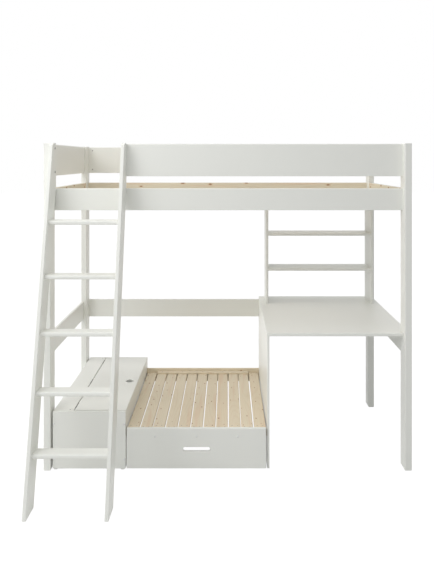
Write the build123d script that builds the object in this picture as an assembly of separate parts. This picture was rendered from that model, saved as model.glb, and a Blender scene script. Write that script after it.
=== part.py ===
from build123d import *
import math
import os

os.makedirs("parts", exist_ok=True)

# High sleeper: a raised single bed on four posts, reached by a leaning ladder. Under it stand a
# storage chest with a hinged lid, a slatted seat that pulls out on castors, and a desk with shelves.
# Sizes are in millimetres. X runs along the bed, Y from front to back, and Z up from the floor.
# While the pieces are made, Y is counted from the front face of the front posts. They are moved
# together at the end, so that the origin is on the floor in the middle of the whole footprint.

# Frame, measured over its posts
bed_length = 2086.0
bed_width = 1023.0
bed_height = 1855.0

# Posts, with their narrow faces to the front and back
post_thick = 40.0
post_deep = 94.0
post_edge = 5.0
post_end_edge = 3.0

# Guards round the mattress, and the side and end rails under them
guard_thick = 22.0
guard_high = 186.0
guard_below_top = 3.0
guard_edge = 6.0
lower_edge = 2.0
edge_share = 0.3
guard_to_rail = 70.0
rail_thick = 18.0
rail_high = 125.0
rail_edge = 5.0
front_set_back = 44.0
entry_wide = 383.0

# Bare pine boards that line the rails, with the ledgers and slats that carry the mattress
pine_thick = 18.0
pine_edge = 2.0
ledger_side = 30.0
ledger_up = 14.0
bed_slat_count = 17
bed_slat_wide = 70.0
bed_slat_thick = 18.0
bed_slat_end_gap = 2.0
bed_slat_first = 18.0

# Lower rails at the back and both ends, level with the underside of the desk
mid_rail_top = 752.0

# Ladder
ladder_reach = 508.0
ladder_top_out = 22.0
stringer_thick = 20.0
stringer_wide = 127.0
stringer_edge = 3.0
stringer_corner = 12.0
tread_count = 5
tread_first = 280.0
tread_pitch = 286.5
tread_thick = 23.0
tread_deep = 78.0
tread_set_in = 24.0
tread_nose = 8.0
tread_edge = 3.0

# Bolts of the ladder, and the barrel nuts let into the back guard
bolt_radius = 3.0
bolt_head_radius = 7.0
bolt_head_high = 3.0
bolt_bite = 27.0
bolt_set_back = 22.0
bolt_from_edge = 25.0
bolt_clearance = 0.2
nut_radius = 5.0
nut_long = 12.0
nut_sunk = 5.0
nut_from_post = 26.0

# Desk and its shelf unit
desk_wide = 817.0
desk_front = 30.0
desk_thick = 18.0
desk_edge = 4.0
notch_clearance = 0.5
panel_thick = 16.0
panel_edge = 2.0
side_panel_thick = 12.5
shelf_thick = 15.0
shelf_deep = 203.0
shelf_in = 40.0
shelf_pitch = 241.0

# Storage chest
chest_wide = 413.5
chest_from_post = 9.0
chest_front = 15.0
chest_from_back = 5.0
chest_top = 330.0
floor_gap = 5.5
chest_edge = 3.0
strip_wide = 114.0
lid_end_gap = 5.0
finger_hole_radius = 25.0
finger_hole_in = 51.5
chest_bottom_thick = 8.0
chest_bottom_up = 16.0
groove_deep = 6.0
cleat_side = 18.0
glide_side = 20.0
glide_edge = 2.0
glide_in = 16.0

# Butt hinges of the lid
hinge_gap = 5.0
hinge_long = 68.0
hinge_in = 80.0
hinge_count = 3
knuckle_count = 2
knuckle_radius = 2.0
knuckle_clearance = 0.15
hinge_pin_radius = 1.0
hinge_pin_clearance = 0.05
hinge_axis_down = 1.0
leaf_thick = 1.0
leaf_below_knuckle = 0.5
leaf_high = 11.0

# Slatted seat: the odd slats stay with the bed, the even ones run out with the front. The moving
# ones are set a little closer together, so they drift to the left of the middle of their spaces.
seat_top = 230.0
seat_slat_count = 11
seat_slat_gap = 5.4
seat_slat_margin = 6.3
moving_slat_shift = 1.1
moving_slat_drift = 0.36
seat_slat_thick = 16.0
seat_slat_edge = 4.0
seat_slat_from_front = 5.0
seat_slat_from_back = 1.0
seat_bar_deep = 20.0
seat_bar_high = 40.0
seat_bar_gap = 5.0
seat_ledger_side = 30.0
back_board_thick = 18.0
back_board_bottom = 167.0
back_board_high = 91.5
back_board_from_back = 24.0
back_board_edge = 2.0

# Pull-out front with its castors
pullout_top = 235.0
pullout_edge = 3.0
handle_long = 154.5
handle_high = 23.0
handle_centre = 115.5
handle_edge = 3.0
batten_end_gap = 14.5
slide_clearance = 0.5
crossbar_wide = 35.0
crossbar_thick = 11.0
crossbar_edge = 2.0
castor_in = 39.5
wheel_radius = 25.0
wheel_wide = 19.0
axle_radius = 3.0
axle_clearance = 0.05
wheel_from_panel = 30.0
wheel_side_gap = 1.5
bracket_thick = 2.5
bracket_high = 66.0
bracket_below_axle = 9.0
bracket_past_axle = 10.0

# Places worked out from the sizes above
post_outer = bed_length / 2
post_inner = post_outer - post_thick
back_post_front = bed_width - post_deep
guard_top = bed_height - guard_below_top
guard_bottom = guard_top - guard_high
rail_top = guard_bottom - guard_to_rail
rail_bottom = rail_top - rail_high
mid_rail_bottom = mid_rail_top - rail_high
rail_back_face = bed_width - rail_thick
pine_front = front_set_back + rail_thick
pine_back = rail_back_face - pine_thick
ledger_bottom = rail_bottom + ledger_up
ledger_top = ledger_bottom + ledger_side

lean = (ladder_reach - ladder_top_out) / guard_top
stringer_level = stringer_wide * math.hypot(1, lean)
left_stringer = -post_inner
right_stringer = left_stringer + stringer_thick + entry_wide

desk_left = post_outer - desk_wide
desk_top = mid_rail_top + desk_thick

chest_left = -post_inner + chest_from_post
chest_right = chest_left + chest_wide
chest_back = bed_width - chest_from_back
chest_inner_front = chest_front + panel_thick
chest_inner_back = chest_back - panel_thick
lid_under = chest_top - panel_thick
strip_right = chest_left + strip_wide
lid_left = strip_right + hinge_gap
lid_front = chest_inner_front + lid_end_gap
lid_back = chest_inner_back - lid_end_gap
hinge_x = strip_right + hinge_gap / 2
hinge_z = chest_top - hinge_axis_down
bottom_low = floor_gap + chest_bottom_up
bottom_high = bottom_low + chest_bottom_thick

pullout_left = chest_right + seat_slat_margin
pullout_right = desk_left - seat_slat_margin
pullout_inner = chest_front + panel_thick
batten_back = pullout_inner + seat_bar_deep
seat_bar_front = batten_back + seat_bar_gap
seat_slat_low = seat_top - seat_slat_thick
seat_slat_front = pullout_inner + seat_slat_from_front
back_board_front = bed_width - back_board_from_back - back_board_thick
seat_slat_back = back_board_front - seat_slat_from_back
seat_left = chest_right + seat_slat_margin
seat_room = desk_left - chest_right - 2 * seat_slat_margin
seat_slat_wide = (seat_room - (seat_slat_count - 1) * seat_slat_gap) / seat_slat_count
seat_slat_step = seat_slat_wide + seat_slat_gap

footprint_shift = -(bed_width - ladder_reach) / 2


def block(x, y, z):
    """A square-edged block between the low and high ends of x, y and z."""
    corner = Pos(x[0], y[0], z[0])
    align = (Align.MIN, Align.MIN, Align.MIN)
    return corner * Box(x[1] - x[0], y[1] - y[0], z[1] - z[0], align=align)


def long_axis(x, y, z):
    """The axis along which a board with these spans is longest."""
    spans = {Axis.X: x[1] - x[0], Axis.Y: y[1] - y[0], Axis.Z: z[1] - z[0]}
    return max(spans, key=spans.get)


def edge_limit(x, y, z):
    """The most that may come off each edge of a board: a share of its thickness."""
    return edge_share * min(x[1] - x[0], y[1] - y[0], z[1] - z[0])


def rounded_board(x, y, z, edge):
    """A board with its upper long edges rounded and its lower ones eased."""
    limit = edge_limit(x, y, z)
    along = long_axis(x, y, z)
    solid = block(x, y, z)
    solid = fillet(solid.edges().filter_by(along).sort_by(Axis.Z)[-2:], min(edge, limit))
    return chamfer(solid.edges().filter_by(along).sort_by(Axis.Z)[:2], min(lower_edge, limit))


def eased_board(x, y, z, edge):
    """A board with its four long edges chamfered."""
    solid = block(x, y, z)
    return chamfer(solid.edges().filter_by(long_axis(x, y, z)), min(edge, edge_limit(x, y, z)))


def bar(radius, start, end):
    """A round bar from one point to another."""
    start, end = Vector(*start), Vector(*end)
    return extrude(Plane(start, z_dir=end - start) * Circle(radius), (end - start).length)


def save(name, *solids):
    """Write one piece, or a group of like pieces, with its Y moved to the middle of the footprint."""
    moved = [Pos(0, footprint_shift, 0) * solid for solid in solids]
    export_step(moved[0] if len(moved) == 1 else Compound(children=moved), f"parts/{name}.step")


# Ladder bolts: two go through the left stringer into the left front post, and two through the
# front guard into the back edge of the right stringer.

bolt_heights = (guard_bottom + bolt_from_edge, guard_top - bolt_from_edge)


def side_bolt(z, gap=0.0):
    """A bolt with its head on the left stringer, or with a gap the hole for it."""
    face = left_stringer + stringer_thick
    tip = left_stringer - bolt_bite - gap
    shank = bar(bolt_radius + gap, (face, bolt_set_back, z), (tip, bolt_set_back, z))
    if gap:
        return shank
    head_end = face + bolt_head_high
    return shank + bar(bolt_head_radius, (face, bolt_set_back, z), (head_end, bolt_set_back, z))


def guard_bolt(z, gap=0.0):
    """A bolt with its head inside the front guard, or with a gap the hole for it."""
    face = front_set_back + guard_thick
    x = right_stringer + stringer_thick / 2
    tip = front_set_back - bolt_bite - gap
    shank = bar(bolt_radius + gap, (x, face, z), (x, tip, z))
    if gap:
        return shank
    head_end = face + bolt_head_high
    return shank + bar(bolt_head_radius, (x, face, z), (x, head_end, z))


save("ladder_bolts", *[bolt(z) for bolt in (side_bolt, guard_bolt) for z in bolt_heights])


# Posts: one rounded section from the floor to the top, with its ends eased all round.


def post(end, front):
    """A corner post: end is -1 left or 1 right, front is the Y of its front face."""
    section = RectangleRounded(post_thick, post_deep, post_edge)
    middle = Pos(end * (post_outer - post_thick / 2), front + post_deep / 2, 0)
    solid = middle * extrude(section, bed_height)
    rims = solid.edges().group_by(Axis.Z)
    return chamfer(rims[0] + rims[-1], post_end_edge)


post_front_left = post(-1, 0)
for z in bolt_heights:
    post_front_left -= side_bolt(z, bolt_clearance)
save("post_front_left", post_front_left)
save("post_front_right", post(1, 0))
save("post_back_left", post(-1, back_post_front))
save("post_back_right", post(1, back_post_front))


# Guards and rails. The long ones stand between the posts, the end ones between front and back.

back_guard_face = bed_width - guard_thick


def barrel_nut(end, z, gap=0.0):
    """A nut sunk in the back guard near its left (-1) or right (1) end, or with a gap its hole."""
    x = end * (post_inner - nut_from_post)
    outer = back_guard_face + (0 if gap else nut_sunk)
    return bar(nut_radius + gap, (x, outer, z), (x, back_guard_face + nut_sunk + nut_long, z))


def end_board(end, thick, low, high, edge):
    """A board across one end of the bed, flush with the outer faces of the posts."""
    x = sorted((end * post_outer, end * (post_outer - thick)))
    return rounded_board(x, (post_deep, back_post_front), (low, high), edge)


guard_z = (guard_bottom, guard_top)
rail_z = (rail_bottom, rail_top)
mid_rail_z = (mid_rail_bottom, mid_rail_top)
between_posts = (-post_inner, post_inner)

guard_front_y = (front_set_back, front_set_back + guard_thick)
guard_front = rounded_board((right_stringer, post_inner), guard_front_y, guard_z, guard_edge)
for z in bolt_heights:
    guard_front -= guard_bolt(z, bolt_clearance)
save("guard_front", guard_front)

nut_places = [(end, z) for end in (-1, 1) for z in bolt_heights]
guard_back = rounded_board(between_posts, (back_guard_face, bed_width), guard_z, guard_edge)
for place in nut_places:
    guard_back -= barrel_nut(*place, bolt_clearance)
save("guard_back", guard_back)
save("barrel_nuts", *[barrel_nut(*place) for place in nut_places])
save("guard_end_left", end_board(-1, guard_thick, guard_bottom, guard_top, guard_edge))
save("guard_end_right", end_board(1, guard_thick, guard_bottom, guard_top, guard_edge))

rail_front_y = (front_set_back, pine_front)
rail_back_y = (rail_back_face, bed_width)
save("side_rail_front", rounded_board(between_posts, rail_front_y, rail_z, rail_edge))
save("side_rail_back", rounded_board(between_posts, rail_back_y, rail_z, rail_edge))
save("end_rail_left", end_board(-1, rail_thick, rail_bottom, rail_top, rail_edge))
save("end_rail_right", end_board(1, rail_thick, rail_bottom, rail_top, rail_edge))

save("mid_rail_back", rounded_board(between_posts, rail_back_y, mid_rail_z, rail_edge))
save("mid_rail_left", end_board(-1, rail_thick, mid_rail_bottom, mid_rail_top, rail_edge))
save("mid_rail_right", end_board(1, rail_thick, mid_rail_bottom, mid_rail_top, rail_edge))


# Bare pine inside the rails: lining boards, the two ledgers and the slats of the upper bed.


def end_lining(end):
    """The pine board inside an end rail."""
    outer = end * (post_outer - rail_thick)
    x = sorted((outer, outer - end * pine_thick))
    return eased_board(x, (post_deep, back_post_front), rail_z, pine_edge)


ledger_z = (ledger_bottom, ledger_top)
lining_face = pine_front + pine_thick
save("slat_rail_front", eased_board(between_posts, (pine_front, lining_face), rail_z, pine_edge))
save("slat_rail_back", eased_board(between_posts, (pine_back, rail_back_face), rail_z, pine_edge))
save("slat_rail_left", end_lining(-1))
save("slat_rail_right", end_lining(1))
save(
    "slat_ledgers",
    block(between_posts, (lining_face, lining_face + ledger_side), ledger_z),
    block(between_posts, (pine_back - ledger_side, pine_back), ledger_z),
)

bed_slat_left = -post_inner + bed_slat_first
bed_slat_step = (2 * post_inner - 2 * bed_slat_first - bed_slat_wide) / (bed_slat_count - 1)
bed_slat_y = (lining_face + bed_slat_end_gap, pine_back - bed_slat_end_gap)
bed_slat_z = (ledger_top, ledger_top + bed_slat_thick)


def bed_slat(number):
    """A slat of the upper bed, counted from the left."""
    low = bed_slat_left + number * bed_slat_step
    return block((low, low + bed_slat_wide), bed_slat_y, bed_slat_z)


save("bed_slats", *[bed_slat(number) for number in range(bed_slat_count)])


# Ladder: two leaning stringers, cut level at the floor and upright where they meet the guard,
# with level treads between them. The top front corner is cut off at a slant.


def front_edge_at(z):
    """Y of the stringers' front edge at height z."""
    return -ladder_reach + z * lean


def stringer(x):
    """A stringer whose left face is at x, with its front edges rounded and its back ones eased."""
    back_foot = -ladder_reach + stringer_level
    outline = Polyline(
        (-ladder_reach, 0),
        (back_foot, 0),
        (front_set_back, (front_set_back - back_foot) / lean),
        (front_set_back, bed_height),
        (front_edge_at(bed_height), bed_height),
        close=True,
    )
    side = make_face(outline)
    side = chamfer(side.vertices().group_by(Axis.Y)[-1].sort_by(Axis.X)[0], stringer_corner)
    solid = extrude(Plane.YZ.offset(x) * side, stringer_thick)
    front = solid.faces().sort_by(lambda face: face.normal_at().Y)[0]
    solid = fillet(front.edges().sort_by(SortBy.LENGTH)[-2:], stringer_edge)
    back = solid.faces().sort_by(lambda face: face.normal_at().Y)[-2]
    return chamfer(back.edges().sort_by(SortBy.LENGTH)[-2:], lower_edge)


def tread(number):
    """A tread, counted from the lowest, with a rounder front edge than back edge."""
    top = tread_first + number * tread_pitch
    nose = front_edge_at(top) + tread_set_in
    x = (left_stringer + stringer_thick, right_stringer)
    solid = block(x, (nose, nose + tread_deep), (top - tread_thick, top))
    across = solid.edges().filter_by(Axis.X).sort_by(Axis.Y)
    solid = fillet(across[:2], tread_nose)
    across = solid.edges().filter_by(Axis.X).sort_by(Axis.Y)
    return chamfer(across[-2:], tread_edge)


stringer_left = stringer(left_stringer)
stringer_right = stringer(right_stringer)
for z in bolt_heights:
    stringer_left -= side_bolt(z, bolt_clearance)
    stringer_right -= guard_bolt(z, bolt_clearance)
save("ladder_stringer_left", stringer_left)
save("ladder_stringer_right", stringer_right)
save("ladder_treads", *[tread(number) for number in range(tread_count)])


# Desk: a top that lies on the lower rails and is notched round both right posts, and the panel
# that carries its left side. The panel is notched over the lower back rail.

front_notch = block(
    (post_inner - notch_clearance, post_outer),
    (desk_front, post_deep + notch_clearance),
    (mid_rail_top, desk_top),
)
back_notch = block(
    (post_inner - notch_clearance, post_outer),
    (back_post_front - notch_clearance, bed_width),
    (mid_rail_top, desk_top),
)
board = block((desk_left, post_outer), (desk_front, bed_width), (mid_rail_top, desk_top))
board = board - front_notch - back_notch
board_edges = board.faces().sort_by(Axis.Y)[0].edges().filter_by(Axis.X)
save("desk_top", fillet(board_edges, desk_edge))

side_panel_x = (desk_left, desk_left + side_panel_thick)
rail_notch = block(
    side_panel_x,
    (rail_back_face - notch_clearance, bed_width),
    (mid_rail_bottom - notch_clearance, mid_rail_top),
)
side_panel = block(side_panel_x, (desk_front, bed_width), (0, mid_rail_top))
side_panel -= rail_notch
panel_edges = side_panel.faces().sort_by(Axis.Y)[0].edges().filter_by(Axis.Z)
save("desk_side_panel", fillet(panel_edges, panel_edge))


# Shelf unit: two uprights on the desk, up to the bed's back ledger, with shelves between them.

shelf_y = (pine_back - shelf_deep, pine_back)
upright_left = (desk_left + shelf_in, desk_left + shelf_in + shelf_thick)
upright_right = (post_inner - shelf_thick, post_inner)


def upright(x):
    """An upright of the shelf unit."""
    return eased_board(x, shelf_y, (desk_top, ledger_bottom), panel_edge)


def shelf(number):
    """A shelf, counted up from the desk."""
    level = desk_top + number * shelf_pitch
    z = (level - shelf_thick, level)
    return eased_board((upright_left[1], upright_right[0]), shelf_y, z, panel_edge)


save("shelf_upright_left", upright(upright_left))
save("shelf_upright_right", upright(upright_right))
save("shelf_lower", shelf(1))
save("shelf_upper", shelf(2))


# Storage chest: front and back lie over the ends of the sides, the bottom sits in a groove in
# all four, and a fixed strip carries the hinges. Cleats on front and back hold strip and lid up.

chest_x = (chest_left, chest_right)
chest_z = (floor_gap, chest_top)
chest_inner_x = (chest_left + panel_thick, chest_right - panel_thick)
bottom_board = block(
    (chest_inner_x[0] - groove_deep, chest_inner_x[1] + groove_deep),
    (chest_inner_front - groove_deep, chest_inner_back + groove_deep),
    (bottom_low, bottom_high),
)
front_board = rounded_board(chest_x, (chest_front, chest_inner_front), chest_z, chest_edge)
back_board = rounded_board(chest_x, (chest_inner_back, chest_back), chest_z, chest_edge)
side_y = (chest_inner_front, chest_inner_back)
side_z = (floor_gap, lid_under)
side_left = block((chest_left, chest_inner_x[0]), side_y, side_z)
side_right = block((chest_inner_x[1], chest_right), side_y, side_z)
save("chest_front", front_board - bottom_board)
save("chest_back", back_board - bottom_board)
save("chest_side_left", side_left - bottom_board)
save("chest_side_right", side_right - bottom_board)
save("chest_bottom", bottom_board)

lid_z = (lid_under, chest_top)
save("chest_top_strip", eased_board((chest_left, strip_right), side_y, lid_z, panel_edge))

cleat_z = (lid_under - cleat_side, lid_under)
save(
    "chest_cleats",
    block(chest_inner_x, (chest_inner_front, chest_inner_front + cleat_side), cleat_z),
    block(chest_inner_x, (chest_inner_back - cleat_side, chest_inner_back), cleat_z),
)


def glide(x, y):
    """A square glide under the edge of a chest board, its sole eased all round."""
    half = glide_side / 2
    pad = block((x - half, x + half), (y - panel_thick / 2, y + panel_thick / 2), (0, floor_gap))
    return chamfer(pad.edges().group_by(Axis.Z)[0], glide_edge)


glide_x = (chest_left + glide_in, chest_right - glide_in)
glide_y = (chest_front + panel_thick / 2, chest_back - panel_thick / 2)
save("chest_glides", *[glide(x, y) for x in glide_x for y in glide_y])

lid = rounded_board((lid_left, chest_right), (lid_front, lid_back), lid_z, panel_edge)
hole_x = chest_right - finger_hole_in
hole_y = (lid_front + lid_back) / 2
lid -= bar(finger_hole_radius, (hole_x, hole_y, lid_under), (hole_x, hole_y, chest_top))
save("chest_lid", lid)


# Butt hinges in the gap between strip and lid. The knuckles of the two leaves alternate along
# the pin, and each leaf stops short of the other's knuckles.

knuckle_long = hinge_long / knuckle_count
hinge_first = lid_front + hinge_in
hinge_last = lid_back - hinge_in
hinge_step = (hinge_last - hinge_first) / (hinge_count - 1)


def hinge_leaf(side, middle):
    """A leaf with its knuckles. Side is -1 on the strip and 1 on the lid."""
    start = middle - hinge_long / 2
    face = hinge_x + side * hinge_gap / 2
    x = sorted((face, face - side * leaf_thick))
    plate_top = hinge_z - knuckle_radius - leaf_below_knuckle
    leaf = block(x, (start, start + hinge_long), (plate_top - leaf_high, plate_top))
    first = 0 if side < 0 else 1
    for number in range(first, knuckle_count, 2):
        low = start + number * knuckle_long + knuckle_clearance
        high = low + knuckle_long - 2 * knuckle_clearance
        leaf += bar(knuckle_radius, (hinge_x, low, hinge_z), (hinge_x, high, hinge_z))
        leaf += block(x, (low, high), (plate_top, hinge_z))
    bore = hinge_pin_radius + hinge_pin_clearance
    return leaf - bar(bore, (hinge_x, start, hinge_z), (hinge_x, start + hinge_long, hinge_z))


def hinge_pin(middle):
    """The pin through one hinge's knuckles."""
    low = middle - hinge_long / 2
    return bar(hinge_pin_radius, (hinge_x, low, hinge_z), (hinge_x, low + hinge_long, hinge_z))


hinge_middles = [hinge_first + number * hinge_step for number in range(hinge_count)]
save("hinge_leaves_strip", *[hinge_leaf(-1, middle) for middle in hinge_middles])
save("hinge_leaves_lid", *[hinge_leaf(1, middle) for middle in hinge_middles])
save("hinge_pins", *[hinge_pin(middle) for middle in hinge_middles])


# Seat: the odd slats lie on a front bar and a rear ledger that stay with the bed. The even slats
# lie between them, a little higher, and are carried by the moving batten and crossbar.

seat_x = (chest_right, desk_left)
seat_bar_y = (seat_bar_front, seat_bar_front + seat_bar_deep)
seat_bar_z = (seat_slat_low - seat_bar_high, seat_slat_low)
save("seat_front_bar", eased_board(seat_x, seat_bar_y, seat_bar_z, pine_edge))
seat_ledger_y = (back_board_front - seat_ledger_side, back_board_front)
seat_ledger_z = (seat_slat_low - seat_ledger_side, seat_slat_low)
save("seat_rear_ledger", eased_board(seat_x, seat_ledger_y, seat_ledger_z, pine_edge))
back_board_y = (back_board_front, back_board_front + back_board_thick)
back_board_z = (back_board_bottom, back_board_bottom + back_board_high)
save("seat_back_board", eased_board(seat_x, back_board_y, back_board_z, back_board_edge))


def seat_slat(left, low):
    """A seat slat with its left edge and its underside at these places."""
    x = (left, left + seat_slat_wide)
    z = (low, low + seat_slat_thick)
    return eased_board(x, (seat_slat_front, seat_slat_back), z, seat_slat_edge)


fixed_numbers = range(0, seat_slat_count, 2)
moving_numbers = range(1, seat_slat_count, 2)
fixed_left = [seat_left + number * seat_slat_step for number in fixed_numbers]
moving_left = [
    seat_left + number * seat_slat_step + moving_slat_shift - (number - 1) * moving_slat_drift
    for number in moving_numbers
]
moving_low = seat_slat_low + slide_clearance
save("seat_slats_fixed", *[seat_slat(left, seat_slat_low) for left in fixed_left])
save("pullout_slats", *[seat_slat(left, moving_low) for left in moving_left])

# The batten is a comb. A tooth stands under each moving slat, and it is cut down under the rest.
batten_x = (pullout_left + batten_end_gap, pullout_right - batten_end_gap)
batten = block(batten_x, (pullout_inner, batten_back), (seat_slat_low - seat_bar_high, moving_low))
for left in fixed_left:
    low = left - seat_slat_gap / 2
    cut_x = (max(low, batten_x[0]), min(low + seat_slat_step, batten_x[1]))
    cut_z = (moving_low - 2 * slide_clearance, moving_low)
    batten -= block(cut_x, (pullout_inner, batten_back), cut_z)
save("pullout_batten", batten)

crossbar_low = seat_top + slide_clearance
save(
    "pullout_crossbar",
    eased_board(
        (moving_left[0], moving_left[-1] + seat_slat_wide),
        (seat_slat_back - crossbar_wide, seat_slat_back),
        (crossbar_low, crossbar_low + crossbar_thick),
        crossbar_edge,
    ),
)


# Pull-out front: one board with a long hand slot, rounded all round its edges.

front = block((pullout_left, pullout_right), (chest_front, pullout_inner), (floor_gap, pullout_top))
pullout_middle = (pullout_left + pullout_right) / 2
slot_plane = Plane((pullout_middle, chest_front, handle_centre), x_dir=(1, 0, 0), z_dir=(0, 1, 0))
front -= extrude(slot_plane * SlotOverall(handle_long, handle_high), panel_thick)
both_faces = (front.faces().sort_by(Axis.Y)[0], front.faces().sort_by(Axis.Y)[-1])
slot_rims = [face.inner_wires()[0] for face in both_faces]
front = chamfer([edge for rim in slot_rims for edge in rim.edges()], handle_edge)
outer_edges = front.faces().sort_by(Axis.Y)[0].outer_wire().edges()
save("pullout_front", chamfer(outer_edges, pullout_edge))


# Castors: a bent steel bracket on the back of the pull-out front, an axle and a wheel.

wheel_y = pullout_inner + wheel_from_panel
cheek_in = wheel_wide / 2 + wheel_side_gap
cheek_out = cheek_in + bracket_thick


def castor_bracket(x):
    """A back plate with two cheeks that reach out to the axle."""
    low = wheel_radius - bracket_below_axle
    tip = wheel_y + bracket_past_axle
    side = Polyline(
        (pullout_inner, low),
        (wheel_y, low),
        (tip, wheel_radius),
        (tip, wheel_radius + bracket_past_axle),
        (pullout_inner + bracket_thick, bracket_high),
        (pullout_inner, bracket_high),
        close=True,
    )
    cheek = make_face(side) - Pos(wheel_y, wheel_radius) * Circle(axle_radius)
    left = extrude(Plane.YZ.offset(x - cheek_out) * cheek, bracket_thick)
    right = extrude(Plane.YZ.offset(x + cheek_in) * cheek, bracket_thick)
    plate_y = (pullout_inner, pullout_inner + bracket_thick)
    plate = block((x - cheek_out, x + cheek_out), plate_y, (low, bracket_high))
    return plate + left + right


def castor_axle(x):
    """An axle that ends flush with both cheeks of its bracket."""
    return bar(axle_radius, (x - cheek_out, wheel_y, wheel_radius), (x + cheek_out, wheel_y, wheel_radius))


def castor_wheel(x):
    """A solid wheel, bored for its axle."""
    half = wheel_wide / 2
    wheel = bar(wheel_radius, (x - half, wheel_y, wheel_radius), (x + half, wheel_y, wheel_radius))
    bore = axle_radius + axle_clearance
    return wheel - bar(bore, (x - half, wheel_y, wheel_radius), (x + half, wheel_y, wheel_radius))


castor_x = (pullout_left + castor_in, pullout_right - castor_in)
save("castor_brackets", *[castor_bracket(x) for x in castor_x])
save("castor_axles", *[castor_axle(x) for x in castor_x])
save("castor_wheel_left", castor_wheel(castor_x[0]))
save("castor_wheel_right", castor_wheel(castor_x[1]))
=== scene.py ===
import math

import bpy
import numpy as np
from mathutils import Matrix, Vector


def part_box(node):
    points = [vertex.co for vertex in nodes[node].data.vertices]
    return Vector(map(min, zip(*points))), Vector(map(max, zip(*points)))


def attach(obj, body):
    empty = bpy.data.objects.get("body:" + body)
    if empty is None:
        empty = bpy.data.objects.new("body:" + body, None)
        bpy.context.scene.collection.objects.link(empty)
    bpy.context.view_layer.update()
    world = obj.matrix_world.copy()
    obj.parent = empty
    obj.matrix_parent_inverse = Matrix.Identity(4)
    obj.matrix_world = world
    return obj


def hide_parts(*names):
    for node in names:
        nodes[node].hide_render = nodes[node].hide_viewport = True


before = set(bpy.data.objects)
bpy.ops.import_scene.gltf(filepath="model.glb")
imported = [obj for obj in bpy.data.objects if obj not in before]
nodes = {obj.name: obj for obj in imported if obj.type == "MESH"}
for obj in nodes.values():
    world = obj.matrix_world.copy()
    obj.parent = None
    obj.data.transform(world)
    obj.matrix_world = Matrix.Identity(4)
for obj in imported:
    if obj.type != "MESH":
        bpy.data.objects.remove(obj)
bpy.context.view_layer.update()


# Posts: four uprights of laminated pine, rounded along their edges, rubbed down and sprayed with a
# satin white lacquer that levels nearly flat. The grain still shows as the faintest ripple.


def feed(tree, slot, value):
    """Gives a node's input a socket to follow, or a plain number or colour."""
    if isinstance(value, bpy.types.NodeSocket):
        tree.links.new(value, slot)
    else:
        slot.default_value = value


def calc(tree, operation, *inputs):
    """The output of a Math node, fed with sockets or plain numbers."""
    made = tree.nodes.new("ShaderNodeMath")
    made.operation = operation
    for slot, value in zip(made.inputs, inputs):
        feed(tree, slot, value)
    return made.outputs[0]


def stretched(tree, vector, scale):
    """A vector times a scale for each axis, so that a pattern runs long along the small ones."""
    made = tree.nodes.new("ShaderNodeVectorMath")
    made.operation = "MULTIPLY"
    tree.links.new(vector, made.inputs[0])
    made.inputs[1].default_value = scale
    return made.outputs[0]


def noise(tree, vector, scale, detail=2.0):
    """The value of a Noise texture, from 0 to 1."""
    made = tree.nodes.new("ShaderNodeTexNoise")
    made.inputs["Scale"].default_value = scale
    made.inputs["Detail"].default_value = detail
    tree.links.new(vector, made.inputs["Vector"])
    return made.outputs["Fac"]


def blended(tree, share, first, second):
    """Two colours mixed: the first where share is 0, the second where it is 1."""
    made = tree.nodes.new("ShaderNodeMix")
    made.data_type = "RGBA"
    share_slot, first_slot, second_slot = made.inputs[0], made.inputs[6], made.inputs[7]
    feed(tree, share_slot, share)
    feed(tree, first_slot, first)
    feed(tree, second_slot, second)
    return made.outputs[2]


def effect(name, inputs, outputs):
    """A new node group with its named sockets. Gives the group, what comes in and what goes out."""
    group = bpy.data.node_groups.new(name, "ShaderNodeTree")
    for label, (kind, value) in inputs.items():
        made = group.interface.new_socket(label, in_out="INPUT", socket_type=f"NodeSocket{kind}")
        if value is not None:
            made.default_value = value
    for label, kind in outputs.items():
        group.interface.new_socket(label, in_out="OUTPUT", socket_type=f"NodeSocket{kind}")
    comes_in = group.nodes.new("NodeGroupInput").outputs
    goes_out = group.nodes.new("NodeGroupOutput").inputs
    return group, comes_in, goes_out


quarter_turn = math.pi / 2
grain_turn = {"X": (0, 0, 0), "Y": (0, 0, -quarter_turn), "Z": (0, quarter_turn, 0)}


def coated(name, group, bump_height, turn=(0, 0, 0), **values):
    """A material whose colour, roughness and bump come from a group on Object coordinates."""
    material = bpy.data.materials.new(name)
    material.use_nodes = True
    tree = material.node_tree
    shader = tree.nodes["Principled BSDF"]
    place = tree.nodes.new("ShaderNodeTexCoord")
    mapping = tree.nodes.new("ShaderNodeMapping")
    mapping.inputs["Rotation"].default_value = turn
    tree.links.new(place.outputs["Object"], mapping.inputs["Vector"])
    pattern = tree.nodes.new("ShaderNodeGroup")
    pattern.node_tree = group
    tree.links.new(mapping.outputs[0], pattern.inputs["Vector"])
    for label, value in values.items():
        pattern.inputs[label.replace("_", " ").capitalize()].default_value = value
    bump = tree.nodes.new("ShaderNodeBump")
    bump.inputs["Strength"].default_value = 1
    bump.inputs["Distance"].default_value = bump_height
    tree.links.new(pattern.outputs["Height"], bump.inputs["Height"])
    tree.links.new(pattern.outputs["Colour"], shader.inputs["Base Color"])
    tree.links.new(pattern.outputs["Roughness"], shader.inputs["Roughness"])
    tree.links.new(bump.outputs[0], shader.inputs["Normal"])
    return material


def dress(material, *names):
    """Gives CAD nodes a material."""
    for name in names:
        for slot in nodes[name].material_slots:
            slot.material = material


# Patterns are given in waves per metre, so larger numbers are finer.
lacquer_white = (0.855, 0.858, 0.812, 1)
lacquer_shade = (0.62, 0.62, 0.58, 1)
mottle_waves, mottle_share = 5.0, 0.05
peel_waves = 650.0
fibre_waves = (2.5, 150.0, 150.0)
satin_roughness, roughness_spread = 0.36, 0.10
peel_height = 0.25
lacquer_depth = 0.00006

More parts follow.
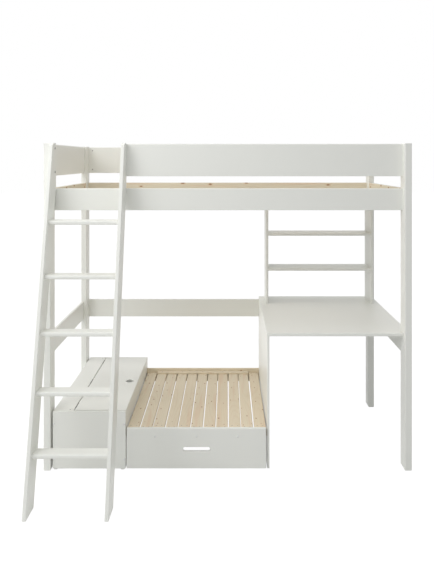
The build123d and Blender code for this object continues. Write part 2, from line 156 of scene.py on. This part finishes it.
lacquer, into, out = effect(
    "satin_lacquer",
    {"Vector": ("Vector", None), "Tint": ("Color", lacquer_white), "Grain": ("Float", 0.0)},
    {"Colour": "Color", "Roughness": "Float", "Height": "Float"},
)
mottle = noise(lacquer, into["Vector"], mottle_waves)
peel = noise(lacquer, into["Vector"], peel_waves, 1.0)
fibre = noise(lacquer, stretched(lacquer, into["Vector"], fibre_waves), 1.0, 3.0)
mottled = calc(lacquer, "MULTIPLY", mottle, mottle_share)
lacquer.links.new(blended(lacquer, mottled, into["Tint"], lacquer_shade), out["Colour"])
sheen = calc(lacquer, "MULTIPLY_ADD", peel, roughness_spread, satin_roughness)
lacquer.links.new(sheen, out["Roughness"])
ripple = calc(lacquer, "MULTIPLY", fibre, into["Grain"])
lacquer.links.new(calc(lacquer, "MULTIPLY_ADD", peel, peel_height, ripple), out["Height"])

white_upright = coated("white_lacquer_upright", lacquer, lacquer_depth, grain_turn["Z"], grain=1.0)
dress(white_upright, "post_front_left", "post_front_right", "post_back_left", "post_back_right")


# Guards and rails: planed pine boards in the same lacquer. The long ones run between the posts, and
# bolts through the posts draw them up against barrel nuts sunk in their faces.

white_lengthwise = coated(
    "white_lacquer_lengthwise", lacquer, lacquer_depth, grain_turn["X"], grain=1.0
)
white_crosswise = coated(
    "white_lacquer_crosswise", lacquer, lacquer_depth, grain_turn["Y"], grain=1.0
)
dress(
    white_lengthwise,
    "guard_front", "guard_back", "side_rail_front", "side_rail_back", "mid_rail_back",
)
dress(
    white_crosswise,
    "guard_end_left", "guard_end_right", "end_rail_left", "end_rail_right",
    "mid_rail_left", "mid_rail_right",
)

spangle_waves, spangle_share = 120.0, 0.4
spangle_dark = (0.36, 0.35, 0.33, 1)
plate_roughness, plate_spread = 0.26, 0.2
pit_waves = 900.0
plate_depth = 0.00002

plated, into, out = effect(
    "zinc_plate",
    {"Vector": ("Vector", None), "Tint": ("Color", (0.5, 0.5, 0.5, 1))},
    {"Colour": "Color", "Roughness": "Float", "Height": "Float"},
)
cloud = noise(plated, into["Vector"], spangle_waves)
clouded = calc(plated, "MULTIPLY", cloud, spangle_share)
plated.links.new(blended(plated, clouded, into["Tint"], spangle_dark), out["Colour"])
uneven = calc(plated, "MULTIPLY_ADD", cloud, plate_spread, plate_roughness)
plated.links.new(uneven, out["Roughness"])
plated.links.new(noise(plated, into["Vector"], pit_waves, 1.0), out["Height"])


def plated_metal(name, bump_height, tint, metallic=1.0):
    """A material on the zinc plate's pattern, in a tint of its own."""
    material = coated(name, plated, bump_height, tint=tint)
    material.node_tree.nodes["Principled BSDF"].inputs["Metallic"].default_value = metallic
    return material


zinc = plated_metal("zinc_plated_steel", plate_depth, (0.42, 0.42, 0.41, 1))
dress(zinc, "barrel_nuts")


def turned(name, places, direction, profile, recess=None, spokes=24):
    """Equal round pieces, each a closed profile of radius and height turned about its own axis.

    A point of the profile at radius r and height h goes to place + r cos(a) u + r sin(a) v + h n,
    where a runs round the axis n in equal steps, and u and v are square to it. A recess is a
    function of the two cross distances r cos(a) and r sin(a) that is taken off the height above 0.
    """
    profile = np.asarray(profile, float)
    places = np.asarray(places, float)
    n = np.asarray(direction, float)
    u = np.roll(n, 1)
    v = np.cross(n, u)
    angle = np.arange(spokes) * 2 * math.pi / spokes
    ring = profile[1:-1]
    across = ring[:, None, 0] * np.cos(angle)
    up = ring[:, None, 0] * np.sin(angle)
    high = np.repeat(ring[:, None, 1], spokes, axis=1)
    across, up, high = (np.concatenate(([0.0], part.ravel(), [0.0])) for part in (across, up, high))
    high[0], high[-1] = profile[0, 1], profile[-1, 1]
    if recess:
        high = np.where(high > 0, high - recess(across, up), high)
    one = across[:, None] * u + up[:, None] * v + high[:, None] * n
    points = (places[:, None, :] + one).reshape(-1, 3)

    rings = len(ring)
    number = 1 + np.arange(rings * spokes).reshape(rings, spokes)
    after = np.roll(number, -1, axis=1)
    last = rings * spokes + 1
    quads = np.stack((number[:-1], number[1:], after[1:], after[:-1]), axis=-1).reshape(-1, 4)
    top = np.stack((np.zeros(spokes, int), number[0], after[0]), axis=-1)
    bottom = np.stack((np.full(spokes, last), after[-1], number[-1]), axis=-1)
    start = (np.arange(len(places)) * (last + 1))[:, None, None]
    faces = [(part + start).reshape(-1, part.shape[-1]).tolist() for part in (quads, top, bottom)]

    mesh = bpy.data.meshes.new(name)
    mesh.from_pydata(points.tolist(), [], faces[0] + faces[1] + faces[2])
    mesh.shade_smooth()
    piece = bpy.data.objects.new(name, mesh)
    bpy.context.scene.collection.objects.link(piece)
    return piece


def hexagon_socket(width, deep, wall=0.0003):
    """A recess with six flat walls, deep inside a hexagon of that width across its flats.

    The depth falls to none over the wall's width, along the largest of the three distances
    across the flats.
    """

    def recess(across, up):
        turns = np.arange(3) * math.pi / 3
        reach = np.abs(across[:, None] * np.cos(turns) + up[:, None] * np.sin(turns)).max(axis=1)
        return deep * np.clip((width / 2 - reach) / wall + 0.5, 0, 1)

    return recess


def domed(radius, height, depth, steps=9, foot_share=0.9):
    """The profile of a low dome with a foot that goes down into the board, from pole to pole.

    The dome is a quarter of an ellipse: radius times sin(a) out, and height times cos(a) up.
    """
    turn = np.linspace(0, quarter_turn, steps)
    rim = np.stack((radius * np.sin(turn), height * np.cos(turn)), axis=1)
    return np.concatenate((rim, [(foot_share * radius, -depth), (0, -depth)]))


bolt_head_radius = 0.0075
bolt_head_high = 0.0022
socket_wide = 0.005
socket_deep = 0.0018
head_sunk = 0.001
board_middle = {"front": 0.055, "back": 1.012}
guard_bolt_z = (1.691, 1.827)
rail_bolt_z = (1.502, 1.565)
mid_bolt_z = (0.658, 0.721)
end_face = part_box("post_back_right")[1].x
front_of_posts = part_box("post_front_right")[0].y

for side, direction in (("left", -1), ("right", 1)):
    front_y = front_of_posts + board_middle["front"]
    back_y = front_of_posts + board_middle["back"]
    spots = [(direction * end_face, front_y, z) for z in guard_bolt_z + rail_bolt_z]
    spots += [(direction * end_face, back_y, z) for z in guard_bolt_z + rail_bolt_z + mid_bolt_z]
    heads = turned(
        f"frame_bolt_heads_{side}", spots, (direction, 0, 0),
        domed(bolt_head_radius, bolt_head_high, head_sunk),
        hexagon_socket(socket_wide, socket_deep),
    )
    heads.data.materials.append(zinc)
    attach(heads, "root")


# Bare pine: the boards inside the rails, the slats of both beds and what carries them, planed and
# sanded but not lacquered. Growth lines run along each board and bend round its brown knots.


def joined(tree, x, y, z=0.0):
    """A vector from its three parts."""
    made = tree.nodes.new("ShaderNodeCombineXYZ")
    for slot, value in zip(made.inputs, (x, y, z)):
        feed(tree, slot, value)
    return made.outputs[0]


def scaled(tree, parts, scales):
    """A vector made of parts, each times a scale that is a socket or a plain number."""
    return joined(
        tree, *(calc(tree, "MULTIPLY", part, scale) for part, scale in zip(parts, scales))
    )


def faded(tree, value, full, none):
    """1 where a value is at full or beyond, 0 where it is at none, and a soft step between."""
    made = tree.nodes.new("ShaderNodeMapRange")
    made.interpolation_type = "SMOOTHSTEP"
    made.inputs["From Min"].default_value = none
    made.inputs["From Max"].default_value = full
    tree.links.new(value, made.inputs["Value"])
    return made.outputs[0]


# Waves are per metre, knots and halos are measured in cells, and shares run from 0 to 1.
board_slip = 7.0
cell_waves = (5.0, 11.0, 0.0)
knot_least, knot_spread = 0.5, 0.7
wobble_waves, wobble_wide = 90.0, 0.05
knot_full, knot_none = 0.05, 0.068
halo_full, halo_none = 0.06, 0.14
bend_fall, bend_high = -14.0, 0.25
drift_waves = (0.8, 6.0)
age_across, ring_waves, late_power = 3.0, 110.0, 3.0
streak_waves, streak_gain, streak_start = (1.6, 70.0, 70.0), 0.9, -0.1
flush_waves, flush_full, flush_none, flush_share = (1.5, 30.0), 0.72, 0.56, 0.38
luck_share, late_share, halo_share, knot_strength = 0.30, 0.65, 0.45, 0.85
flush_tone = (0.75, 0.53, 0.37, 1)
halo_tone = (0.62, 0.40, 0.23, 1)
knot_tone = (0.33, 0.17, 0.09, 1)
bare_roughness, late_smoother = 0.62, -0.10
late_high, streak_high = 0.6, 0.5

pine, into, out = effect(
    "planed_pine",
    {
        "Vector": ("Vector", None),
        "Board pitch": ("Float", 10.0),
        "Board start": ("Float", 5.0),
        "Knot share": ("Float", 0.5),
        "Knot size": ("Float", 1.0),
        "Knot crowd": ("Float", 1.0),
        "Light": ("Color", (0.80, 0.71, 0.55, 1)),
        "Dark": ("Color", (0.69, 0.54, 0.36, 1)),
    },
    {"Colour": "Color", "Roughness": "Float", "Height": "Float"},
)
split = pine.nodes.new("ShaderNodeSeparateXYZ")
pine.links.new(into["Vector"], split.inputs[0])
along, across, thick = split.outputs
from_start = calc(pine, "SUBTRACT", across, into["Board start"])
board = calc(pine, "FLOOR", calc(pine, "DIVIDE", from_start, into["Board pitch"]))
chance = pine.nodes.new("ShaderNodeTexWhiteNoise")
chance.noise_dimensions = "1D"
pine.links.new(board, chance.inputs["W"])
luck = chance.outputs["Value"]
drawn = calc(pine, "MULTIPLY_ADD", luck, board_slip, along)

crowd = into["Knot crowd"]
cells = pine.nodes.new("ShaderNodeTexVoronoi")
cells.voronoi_dimensions = "2D"
cells.inputs["Scale"].default_value = 1.0
cell_place = stretched(pine, scaled(pine, (drawn, across), (crowd, crowd)), cell_waves)
pine.links.new(cell_place, cells.inputs["Vector"])
lot = pine.nodes.new("ShaderNodeSeparateColor")
pine.links.new(cells.outputs["Color"], lot.inputs[0])
has_knot = calc(pine, "LESS_THAN", lot.outputs[0], into["Knot share"])
knot_draw = calc(pine, "MULTIPLY_ADD", lot.outputs[1], knot_spread, knot_least)
knot_scale = calc(pine, "MULTIPLY", into["Knot size"], knot_draw)
ragged = noise(pine, into["Vector"], wobble_waves)
wobble = calc(pine, "MULTIPLY_ADD", ragged, wobble_wide, -wobble_wide / 2)
to_knot = calc(pine, "ADD", calc(pine, "DIVIDE", cells.outputs["Distance"], knot_scale), wobble)
knot = calc(pine, "MULTIPLY", has_knot, faded(pine, to_knot, knot_full, knot_none))
halo = calc(pine, "MULTIPLY", has_knot, faded(pine, to_knot, halo_full, halo_none))

falling = calc(pine, "EXPONENT", calc(pine, "MULTIPLY", to_knot, bend_fall))
bend = calc(pine, "MULTIPLY", has_knot, falling)
drift = noise(pine, scaled(pine, (drawn, across), drift_waves), 1.0, 1.0)
drifted = calc(pine, "MULTIPLY_ADD", bend, bend_high, drift)
age = calc(pine, "ADD", calc(pine, "MULTIPLY", across, age_across), drifted)
swing = calc(pine, "SINE", calc(pine, "MULTIPLY", age, ring_waves))
rings = calc(pine, "MULTIPLY_ADD", swing, 0.5, 0.5)
streak = noise(pine, scaled(pine, (drawn, across, thick), streak_waves), 1.0, 3.0)
broken = calc(pine, "MULTIPLY_ADD", streak, streak_gain, streak_start)
late_wood = calc(pine, "MULTIPLY", calc(pine, "POWER", rings, late_power), broken)
flush = noise(pine, scaled(pine, (drawn, across), flush_waves), 1.0, 1.0)
pink = calc(pine, "MULTIPLY", faded(pine, flush, flush_full, flush_none), flush_share)

toned = blended(pine, calc(pine, "MULTIPLY", luck, luck_share), into["Light"], into["Dark"])
lined = blended(pine, calc(pine, "MULTIPLY", late_wood, late_share), toned, into["Dark"])
flushed = blended(pine, pink, lined, flush_tone)
ringed = blended(pine, calc(pine, "MULTIPLY", halo, halo_share), flushed, halo_tone)
knotted = blended(pine, calc(pine, "MULTIPLY", knot, knot_strength), ringed, knot_tone)
pine.links.new(knotted, out["Colour"])
dry = calc(pine, "MULTIPLY_ADD", late_wood, late_smoother, bare_roughness)
pine.links.new(dry, out["Roughness"])
streaked = calc(pine, "MULTIPLY", streak, streak_high)
pine.links.new(calc(pine, "MULTIPLY_ADD", late_wood, late_high, streaked), out["Height"])

pine_depth = 0.0002
standing_turn = {"X": (-quarter_turn, 0, 0), "Y": (-quarter_turn, quarter_turn, 0)}
pale = {
    "light": (0.76, 0.70, 0.57, 1),
    "dark": (0.65, 0.53, 0.38, 1),
    "knot_share": 0.9,
    "knot_size": 1.2,
}
lining_long = coated("bare_pine_lining_long", pine, pine_depth, standing_turn["X"], **pale)
lining_end = coated("bare_pine_lining_end", pine, pine_depth, standing_turn["Y"], **pale)
dress(lining_long, "slat_rail_front", "slat_rail_back")
dress(lining_end, "slat_rail_left", "slat_rail_right")
bare_standing = coated(
    "bare_pine_standing", pine, pine_depth, standing_turn["X"], knot_size=0.6, knot_share=0.7
)
bare_lying = coated("bare_pine_lying", pine, pine_depth, grain_turn["X"], knot_share=0.2)
dress(bare_standing, "seat_front_bar", "seat_rear_ledger", "seat_back_board", "pullout_batten")
dress(bare_lying, "slat_ledgers", "pullout_crossbar", "chest_cleats")

seat_pitch = 0.072664
seat_start = 0.5769
bed_pitch = 0.11875
bed_start = 1.00938
seat_pine = coated(
    "bare_pine_seat_slats", pine, pine_depth, grain_turn["Y"],
    board_pitch=seat_pitch, board_start=seat_start,
    knot_share=0.65, knot_size=0.8, knot_crowd=1.7,
)
bed_pine = coated(
    "bare_pine_bed_slats", pine, pine_depth, grain_turn["Y"],
    board_pitch=bed_pitch, board_start=bed_start, knot_size=0.7,
)
dress(seat_pine, "seat_slats_fixed", "pullout_slats")
dress(bed_pine, "bed_slats")


# Ladder: two leaning stringers with five treads let in between them, all lacquered pine. Four
# zinc-plated bolts hold it to the bed.

stringer_run, stringer_rise = 0.486, 1.852
stringer_lean = math.atan2(stringer_run, stringer_rise)
white_leaning = coated(
    "white_lacquer_leaning", lacquer, lacquer_depth, (-stringer_lean, quarter_turn, 0), grain=1.0
)
dress(white_leaning, "ladder_stringer_left", "ladder_stringer_right")
dress(white_lengthwise, "ladder_treads")
dress(zinc, "ladder_bolts")


# Desk and shelves: flat board in the same white, so smooth that no grain shows. The top lies on
# the lower rails and on a side panel, and the shelf unit stands on it.

white_board = coated("white_lacquer_board", lacquer, lacquer_depth, grain=0.0)
dress(
    white_board,
    "desk_top", "desk_side_panel",
    "shelf_upright_left", "shelf_upright_right", "shelf_lower", "shelf_upper",
)


# Storage chest: five lacquered boards, a fixed strip and a lid. Small moulded caps cover the screws
# at its corners, and three dark steel butt hinges sit in the gap between strip and lid.

dress(
    white_board,
    "chest_front", "chest_back", "chest_side_left", "chest_side_right", "chest_bottom",
    "chest_top_strip", "chest_lid",
)

flow_waves, flow_share = 60.0, 0.15
flow_dark = (0.3, 0.3, 0.29, 1)
moulded_roughness, moulded_spread = 0.38, 0.15
mould_waves = 1500.0
cap_depth = 0.00002

moulded, into, out = effect(
    "moulded_plastic",
    {"Vector": ("Vector", None), "Tint": ("Color", (0.8, 0.8, 0.8, 1))},
    {"Colour": "Color", "Roughness": "Float", "Height": "Float"},
)
flow = noise(moulded, into["Vector"], flow_waves)
flowed = calc(moulded, "MULTIPLY", flow, flow_share)
moulded.links.new(blended(moulded, flowed, into["Tint"], flow_dark), out["Colour"])
matted = calc(moulded, "MULTIPLY_ADD", flow, moulded_spread, moulded_roughness)
moulded.links.new(matted, out["Roughness"])
moulded.links.new(noise(moulded, into["Vector"], mould_waves, 1.0), out["Height"])
cap_white = coated("white_moulded_caps", moulded, cap_depth, tint=(0.84, 0.84, 0.82, 1))
dress(cap_white, "chest_glides")

bronze_depth = 0.00003
bronzed = plated_metal("bronzed_hinge_steel", bronze_depth, (0.10, 0.085, 0.07, 1), 0.6)
dress(bronzed, "hinge_leaves_strip", "hinge_leaves_lid")
dress(zinc, "hinge_pins")

cap_radius = 0.0065
cap_high = 0.0034
chest_low, chest_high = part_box("chest_front")
cap_in = 0.007
cap_z = (0.059, 0.259)
cap_x = (chest_low.x + cap_in, chest_high.x - cap_in)
chest_back_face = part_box("chest_back")[1].y
for side, face, direction in (("front", chest_low.y, -1), ("back", chest_back_face, 1)):
    caps = turned(
        f"chest_caps_{side}", [(x, face, z) for x in cap_x for z in cap_z], (0, direction, 0),
        domed(cap_radius, cap_high, head_sunk),
    )
    caps.data.materials.append(cap_white)
    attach(caps, "root")

screw_radius = 0.0038
screw_dome = 0.0006
screw_deep = 0.002
screw_steps, screw_spokes = 12, 32
slot_half = 0.0005
slot_reach = 0.0021
slot_deep = 0.0012
slot_wall = 0.0002
slot_start = 1.4


def cross_recess(across, up):
    """A recess shaped as a plus sign, deepest in the middle and running out at its tips.

    The depth is slot_deep times two shares, each held between 0 and 1: one falls over slot_wall
    at slot_half from an arm's middle line, and one is slot_start less the reach over slot_reach.
    """
    reach = np.hypot(across, up)
    arm = np.minimum(np.abs(across), np.abs(up))
    inside = np.clip((slot_half - arm) / slot_wall + 0.5, 0, 1)
    return slot_deep * inside * np.clip(slot_start - reach / slot_reach, 0, 1)


# Screw steel in a dark tint that paints the shade of the screws' recesses into their colour; it is
# darker than the plain zinc.
screw_steel_painted_shade = plated_metal("screw_steel_painted_recess_shade", plate_depth, (0.17, 0.165, 0.16, 1))


def screws(name, places, direction, body):
    """Countersunk cross-head screws, their heads just level with the face they are in, in a steel
    darkened with painted shade.
    """
    head = domed(screw_radius, screw_dome, screw_deep, screw_steps)
    heads = turned(name, places, direction, head, cross_recess, screw_spokes)
    heads.data.materials.append(screw_steel_painted_shade)
    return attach(heads, body)


chest_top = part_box("chest_top_strip")[1].z
strip_screw_x = -0.902
strip_screw_in = 0.015
strip_low, strip_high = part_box("chest_top_strip")
strip_screw_y = (strip_low.y + strip_screw_in, strip_high.y - strip_screw_in)
screws("strip_screws", [(strip_screw_x, y, chest_top) for y in strip_screw_y], (0, 0, 1), "root")


# Desk fixings: two screws in the inner face of the right front post, just below the desk's top.
# White moulded caps like the chest's are pressed over them.

desk_cap_in = 0.028
desk_cap_z = (0.696, 0.731)
inner_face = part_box("post_front_right")[0].x
post_caps = turned(
    "post_caps", [(inner_face, front_of_posts + desk_cap_in, z) for z in desk_cap_z], (-1, 0, 0),
    domed(cap_radius, cap_high, head_sunk),
)
post_caps.data.materials.append(cap_white)
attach(post_caps, "root")


# Slatted seat: six pine slats stay on a front bar and a rear ledger, and five run out with the
# front. Countersunk screws hold them, in pairs at a slat's end and single at the crossbar. The
# upper bed's slats have one at each end.

seat_left = -0.5742
slat_wide = 0.067264
moving_shift = 0.0011
moving_drift = 0.00036
pair_half = 0.016
screw_sink = 0.0003


def slat_middles(numbers):
    """X of the numbered slats' middles. The moving ones are set a little closer together."""
    numbers = np.asarray(numbers)
    shift = np.where(numbers % 2, moving_shift - (numbers - 1) * moving_drift, 0)
    return seat_left + slat_wide / 2 + numbers * seat_pitch + shift


def pair_at(numbers, y, top):
    """Places for two screws across each of the numbered slats."""
    x = (slat_middles(numbers)[:, None] + np.array((-pair_half, pair_half))).ravel()
    return np.stack((x, np.full(len(x), y), np.full(len(x), top - screw_sink)), axis=1)


fixed_numbers, moving_numbers = range(0, 11, 2), range(1, 11, 2)
fixed_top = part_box("seat_slats_fixed")[1].z
moving_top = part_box("pullout_slats")[1].z
bar_middle = sum(corner.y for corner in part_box("seat_front_bar")) / 2
ledger_middle = sum(corner.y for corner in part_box("seat_rear_ledger")) / 2
batten_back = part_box("pullout_batten")[1].y
batten_screw_in = 0.0045
screws("seat_screws_front", pair_at(fixed_numbers, bar_middle, fixed_top), (0, 0, 1), "root")
screws("seat_screws_back", pair_at(fixed_numbers, ledger_middle, fixed_top), (0, 0, 1), "root")
screws(
    "pullout_screws_front", pair_at(moving_numbers, batten_back - batten_screw_in, moving_top),
    (0, 0, 1), "pullout",
)
crossbar_low, crossbar_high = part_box("pullout_crossbar")
crossbar_y = (crossbar_low.y + crossbar_high.y) / 2
crossbar_z = crossbar_high.z - screw_sink
screws(
    "crossbar_screws", [(x, crossbar_y, crossbar_z) for x in slat_middles(moving_numbers)],
    (0, 0, 1), "pullout",
)

bed_slat_count = 17
bed_slat_half = 0.035
bed_screw_in = 0.013
bed_low, bed_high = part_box("bed_slats")
bed_middles = bed_low.x + bed_slat_half + np.arange(bed_slat_count) * bed_pitch
bed_screw_y = (bed_low.y + bed_screw_in, bed_high.y - bed_screw_in)
bed_screw_z = bed_high.z - screw_sink
screws(
    "bed_slat_screws", [(x, y, bed_screw_z) for x in bed_middles for y in bed_screw_y],
    (0, 0, 1), "root",
)


# Pull-out front: one lacquered board with a hand slot cut through it. Three screws under white
# moulded caps fix it to its batten.

dress(white_board, "pullout_front")
front_low, front_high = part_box("pullout_front")
front_cap_z = 0.1876
front_cap_step = 0.2355
front_middle = (front_low.x + front_high.x) / 2
front_cap_x = [front_middle + step * front_cap_step for step in (-1, 0, 1)]
front_caps = turned(
    "pullout_caps", [(x, front_low.y, front_cap_z) for x in front_cap_x], (0, -1, 0),
    domed(cap_radius, cap_high, head_sunk),
)
front_caps.data.materials.append(cap_white)
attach(front_caps, "pullout")


# Castors: a bent steel bracket, a steel axle, and a grey moulded wheel with a rounded tread and a
# raised hub.

dress(zinc, "castor_brackets", "castor_axles")
wheel_depth = 0.00003
wheel_grey = coated("grey_moulded_wheel", moulded, wheel_depth, tint=(0.36, 0.36, 0.36, 1))

bore = 0.00305
hub_top, hub_foot = 0.008, 0.0095
web_sunk = 0.002
rim_foot, rim_top = 0.007, 0.005
tread_round = 0.003
tread_steps, wheel_spokes = 6, 64


def wheel_between(name, low, high):
    """A wheel with a bore that fills the box from low to high, its axle along X.

    Its outline, x along the axle and r out from it, runs from the bore over the hub, the sunk web
    and the rim to a tread with edges rounded by t: x = half - t (1 - sin(a)) and
    r = radius - t (1 - cos(a)), with a from 0 to a quarter turn. The other half mirrors it. Each
    point then goes round the wheel's middle, to x, r cos(b) and r sin(b), in equal steps of b.
    """
    half = (high.x - low.x) / 2
    radius = (high.z - low.z) / 2
    curve = np.linspace(0, quarter_turn, tread_steps)
    tread_x = half - tread_round * (1 - np.sin(curve))
    tread_r = radius - tread_round * (1 - np.cos(curve))
    right_half = [
        (bore, half), (hub_top, half), (hub_foot, half - web_sunk),
        (radius - rim_foot, half - web_sunk), (radius - rim_top, half),
    ]
    right_half += list(zip(tread_r[::-1], tread_x[::-1]))
    left_half = [(r, -x) for r, x in right_half[::-1]]
    outline = np.array(right_half + left_half)
    angle = np.arange(wheel_spokes) * 2 * math.pi / wheel_spokes
    centre = ((low.x + high.x) / 2, (low.y + high.y) / 2, (low.z + high.z) / 2)
    ring = np.stack(
        np.broadcast_arrays(
            centre[0] + outline[:, None, 1],
            centre[1] + outline[:, None, 0] * np.cos(angle),
            centre[2] + outline[:, None, 0] * np.sin(angle),
        ),
        axis=-1,
    )
    number = np.arange(len(outline) * wheel_spokes).reshape(len(outline), wheel_spokes)
    below, turn_on = np.roll(number, -1, axis=0), np.roll(number, -1, axis=1)
    both = np.roll(below, -1, axis=1)
    quads = np.stack((number, turn_on, both, below), axis=-1).reshape(-1, 4)
    mesh = bpy.data.meshes.new(name)
    mesh.from_pydata(ring.reshape(-1, 3).tolist(), [], quads.tolist())
    mesh.shade_smooth()
    piece = bpy.data.objects.new(name, mesh)
    bpy.context.scene.collection.objects.link(piece)
    return piece


for side in ("left", "right"):
    wheel = wheel_between(f"wheel_{side}", *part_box(f"castor_wheel_{side}"))
    wheel.data.materials.append(wheel_grey)
    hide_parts(f"castor_wheel_{side}")
    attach(wheel, f"wheel_{side}")


# Studio: a plain white floor that fades into a white surround. The key lamp is high on the left in
# front, with a weak one nearer the middle, a low one at the left side and a large one overhead.

floor_half = 30.0
floor_corners = ((-1, -1), (1, -1), (1, 1), (-1, 1))
floor_mesh = bpy.data.meshes.new("floor")
floor_mesh.from_pydata(
    [(x * floor_half, y * floor_half, 0) for x, y in floor_corners], [], [(0, 1, 2, 3)]
)
floor = bpy.data.objects.new("floor", floor_mesh)
bpy.context.scene.collection.objects.link(floor)

paper_white = (0.80, 0.80, 0.79, 1)
paper_roughness = 0.9
paper_glow, paper_glow_share = 1.12, 0.88
ambient_white = (0.97, 0.985, 1.0, 1)
ambient_strength = 0.44
backdrop_white = (1, 1, 1, 1)
backdrop_strength = 1.0


def seen_by_eye(tree):
    """1 for rays from the camera, off a glossy face or through glass, and 0 for any other."""
    rays = tree.nodes.new("ShaderNodeLightPath").outputs
    seen = calc(tree, "MAXIMUM", rays["Is Camera Ray"], rays["Is Glossy Ray"])
    return calc(tree, "MAXIMUM", seen, rays["Is Transmission Ray"])


def mixed(tree, share, first, second, end):
    """Sends one shader to the end node where share is 0 and another where it is 1."""
    mix = tree.nodes.new("ShaderNodeMixShader")
    tree.links.new(share, mix.inputs[0])
    tree.links.new(first.outputs[0], mix.inputs[1])
    tree.links.new(second.outputs[0], mix.inputs[2])
    tree.links.new(mix.outputs[0], tree.nodes[end].inputs["Surface"])


paper = bpy.data.materials.new("white_paper")
paper.use_nodes = True
tree = paper.node_tree
matt = tree.nodes["Principled BSDF"]
matt.inputs["Base Color"].default_value = paper_white
matt.inputs["Roughness"].default_value = paper_roughness
glow = tree.nodes.new("ShaderNodeEmission")
glow.inputs["Strength"].default_value = paper_glow
glowing = calc(tree, "MULTIPLY", seen_by_eye(tree), paper_glow_share)
mixed(tree, glowing, matt, glow, "Material Output")
floor_mesh.materials.append(paper)

world = bpy.data.worlds.new("studio")
bpy.context.scene.world = world
world.use_nodes = True
tree = world.node_tree
ambient = tree.nodes["Background"]
ambient.inputs["Color"].default_value = ambient_white
ambient.inputs["Strength"].default_value = ambient_strength
backdrop = tree.nodes.new("ShaderNodeBackground")
backdrop.inputs["Color"].default_value = backdrop_white
backdrop.inputs["Strength"].default_value = backdrop_strength
mixed(tree, seen_by_eye(tree), ambient, backdrop, "World Output")

lamp_target = (0, 0.3, 0.9)


def softbox(name, azimuth, elevation, distance, size, watts):
    """A square area lamp on a dome over the bed, turned to the dome's middle.

    From there it lies at distance times (sin(t) cos(r), -cos(t) cos(r), sin(r)), where t is the
    azimuth, 0 in front and growing to the right, and r is the elevation.
    """
    lamp = bpy.data.lights.new(name, "AREA")
    lamp.size = size
    lamp.energy = watts
    holder = bpy.data.objects.new(name, lamp)
    bpy.context.scene.collection.objects.link(holder)
    turn, rise = math.radians(azimuth), math.radians(elevation)
    out_from = (math.sin(turn) * math.cos(rise), -math.cos(turn) * math.cos(rise), math.sin(rise))
    holder.location = np.add(lamp_target, np.multiply(distance, out_from))
    holder.rotation_euler = (quarter_turn - rise, 0, turn)


softbox("key", -45, 35, 5.5, 2.2, 64)
softbox("near_front", -25, 30, 3.2, 1.4, 10)
softbox("window", -90, 15, 5.5, 2.2, 84)
softbox("overhead", 0, 90, 5.5, 5.5, 105)


# Camera: level, in front of the bed's middle. It is shifted, as the photograph's lines that run to
# the back meet above its middle.

picture_wide, picture_high = 434, 579
focal_pixels = 636.3
meeting_point = (227.1, 160.4)
sensor_wide = 36
eye_x, eye_to_posts, eye_high = -0.0033, 3.6, 1.7567
lens_data = bpy.data.cameras.new("camera")
lens_data.sensor_width = sensor_wide
lens_data.lens = focal_pixels * sensor_wide / picture_high
lens_data.shift_x = (picture_wide / 2 - meeting_point[0]) / picture_high
lens_data.shift_y = (meeting_point[1] - picture_high / 2) / picture_high
camera = bpy.data.objects.new("camera", lens_data)
bpy.context.scene.collection.objects.link(camera)
camera.location = (eye_x, front_of_posts - eye_to_posts, eye_high)
camera.rotation_euler = (quarter_turn, 0, 0)
bpy.context.scene.camera = camera
bpy.context.scene.view_settings.view_transform = "Standard"
